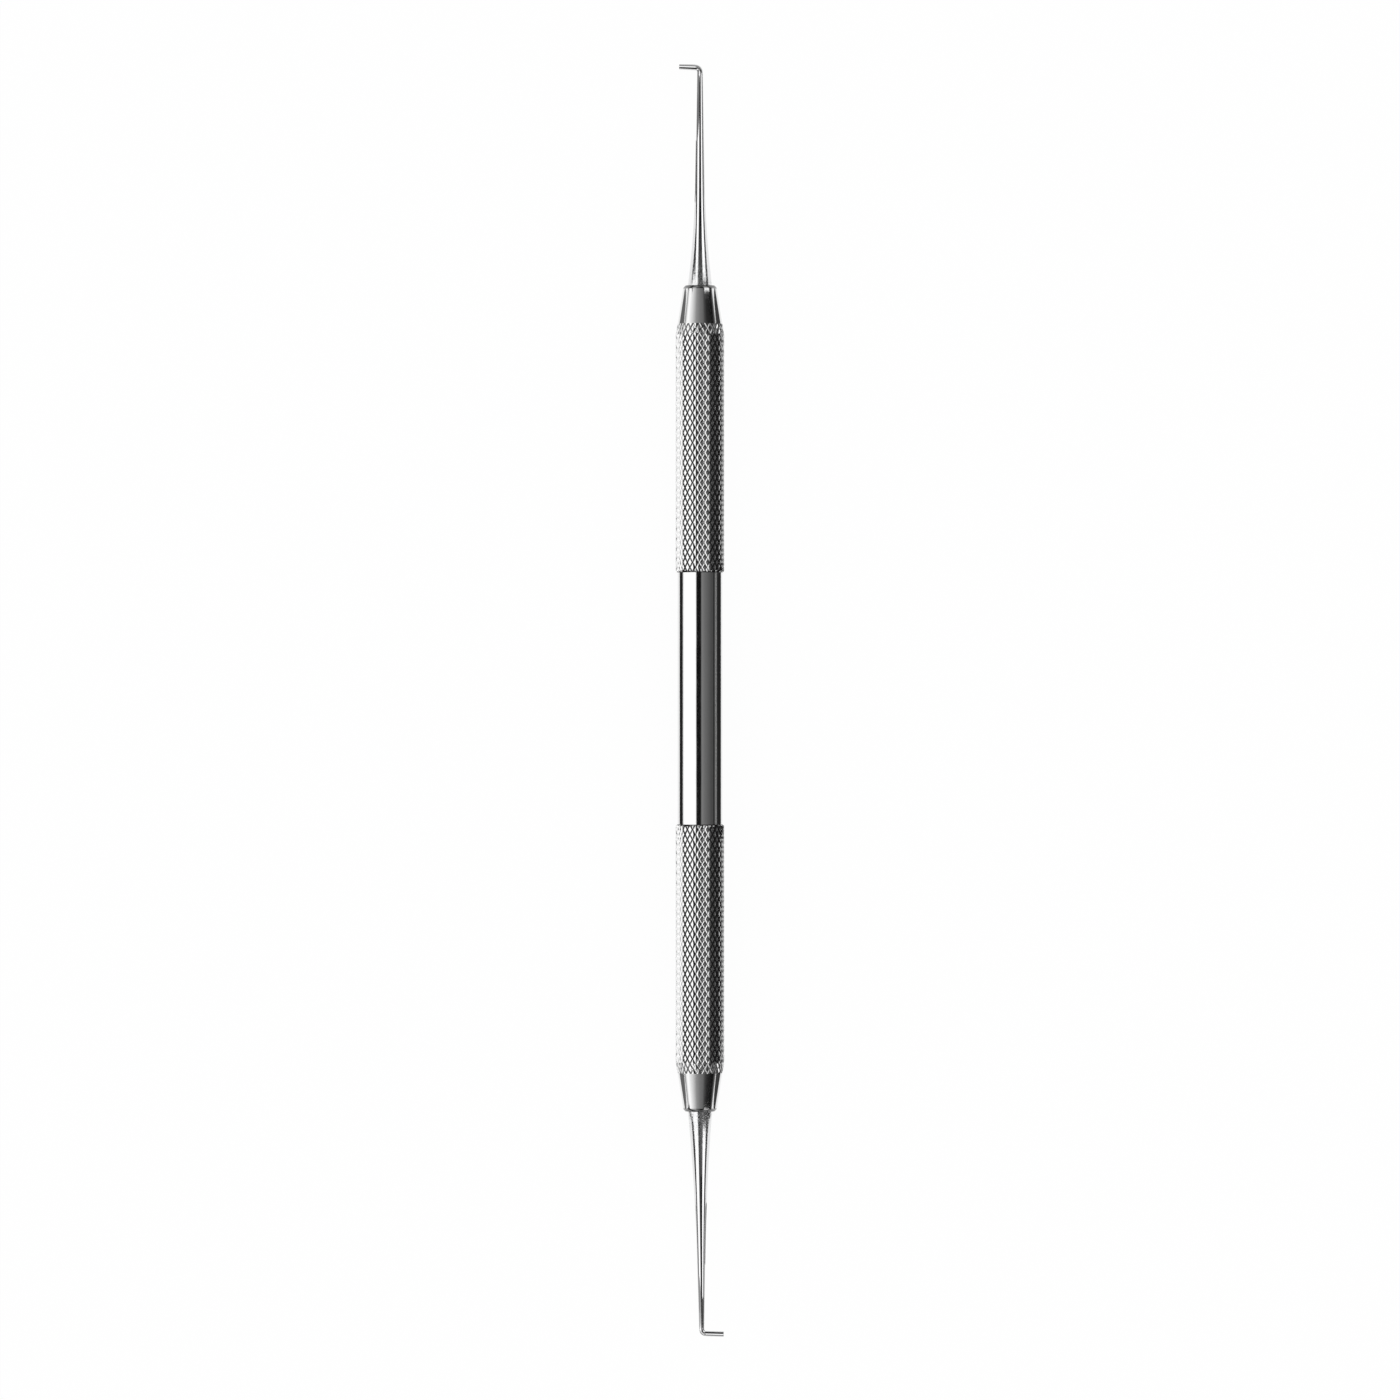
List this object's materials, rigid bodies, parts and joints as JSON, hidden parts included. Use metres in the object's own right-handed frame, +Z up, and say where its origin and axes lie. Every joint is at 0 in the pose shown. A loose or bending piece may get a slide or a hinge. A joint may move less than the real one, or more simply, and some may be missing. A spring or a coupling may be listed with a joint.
{
  "type": "root canal plugger",
  "caption": "Slim double-ended dental hand instrument: knurled round steel handle with a polished centre, and a tapered shank with a short right-angled flat-ended tip at each end.",
  "frame": {"origin": "on the surface that the instrument lies on, under the middle of its overall length and of its width", "axes": "+Y along the handle towards the upper working end, +Z up, +X towards the side that the lower tip points to"},
  "size_m": [0.0064, 0.1662, 0.0063],
  "materials": {
    "handle_steel": "satin knurl, polished centre and cones",
    "working_end_steel": "polished"
  },
  "bodies": {
    "root": {"handle": "handle_steel", "upper_working_end": "working_end_steel", "lower_working_end": "working_end_steel"}
  },
  "joints": []
}
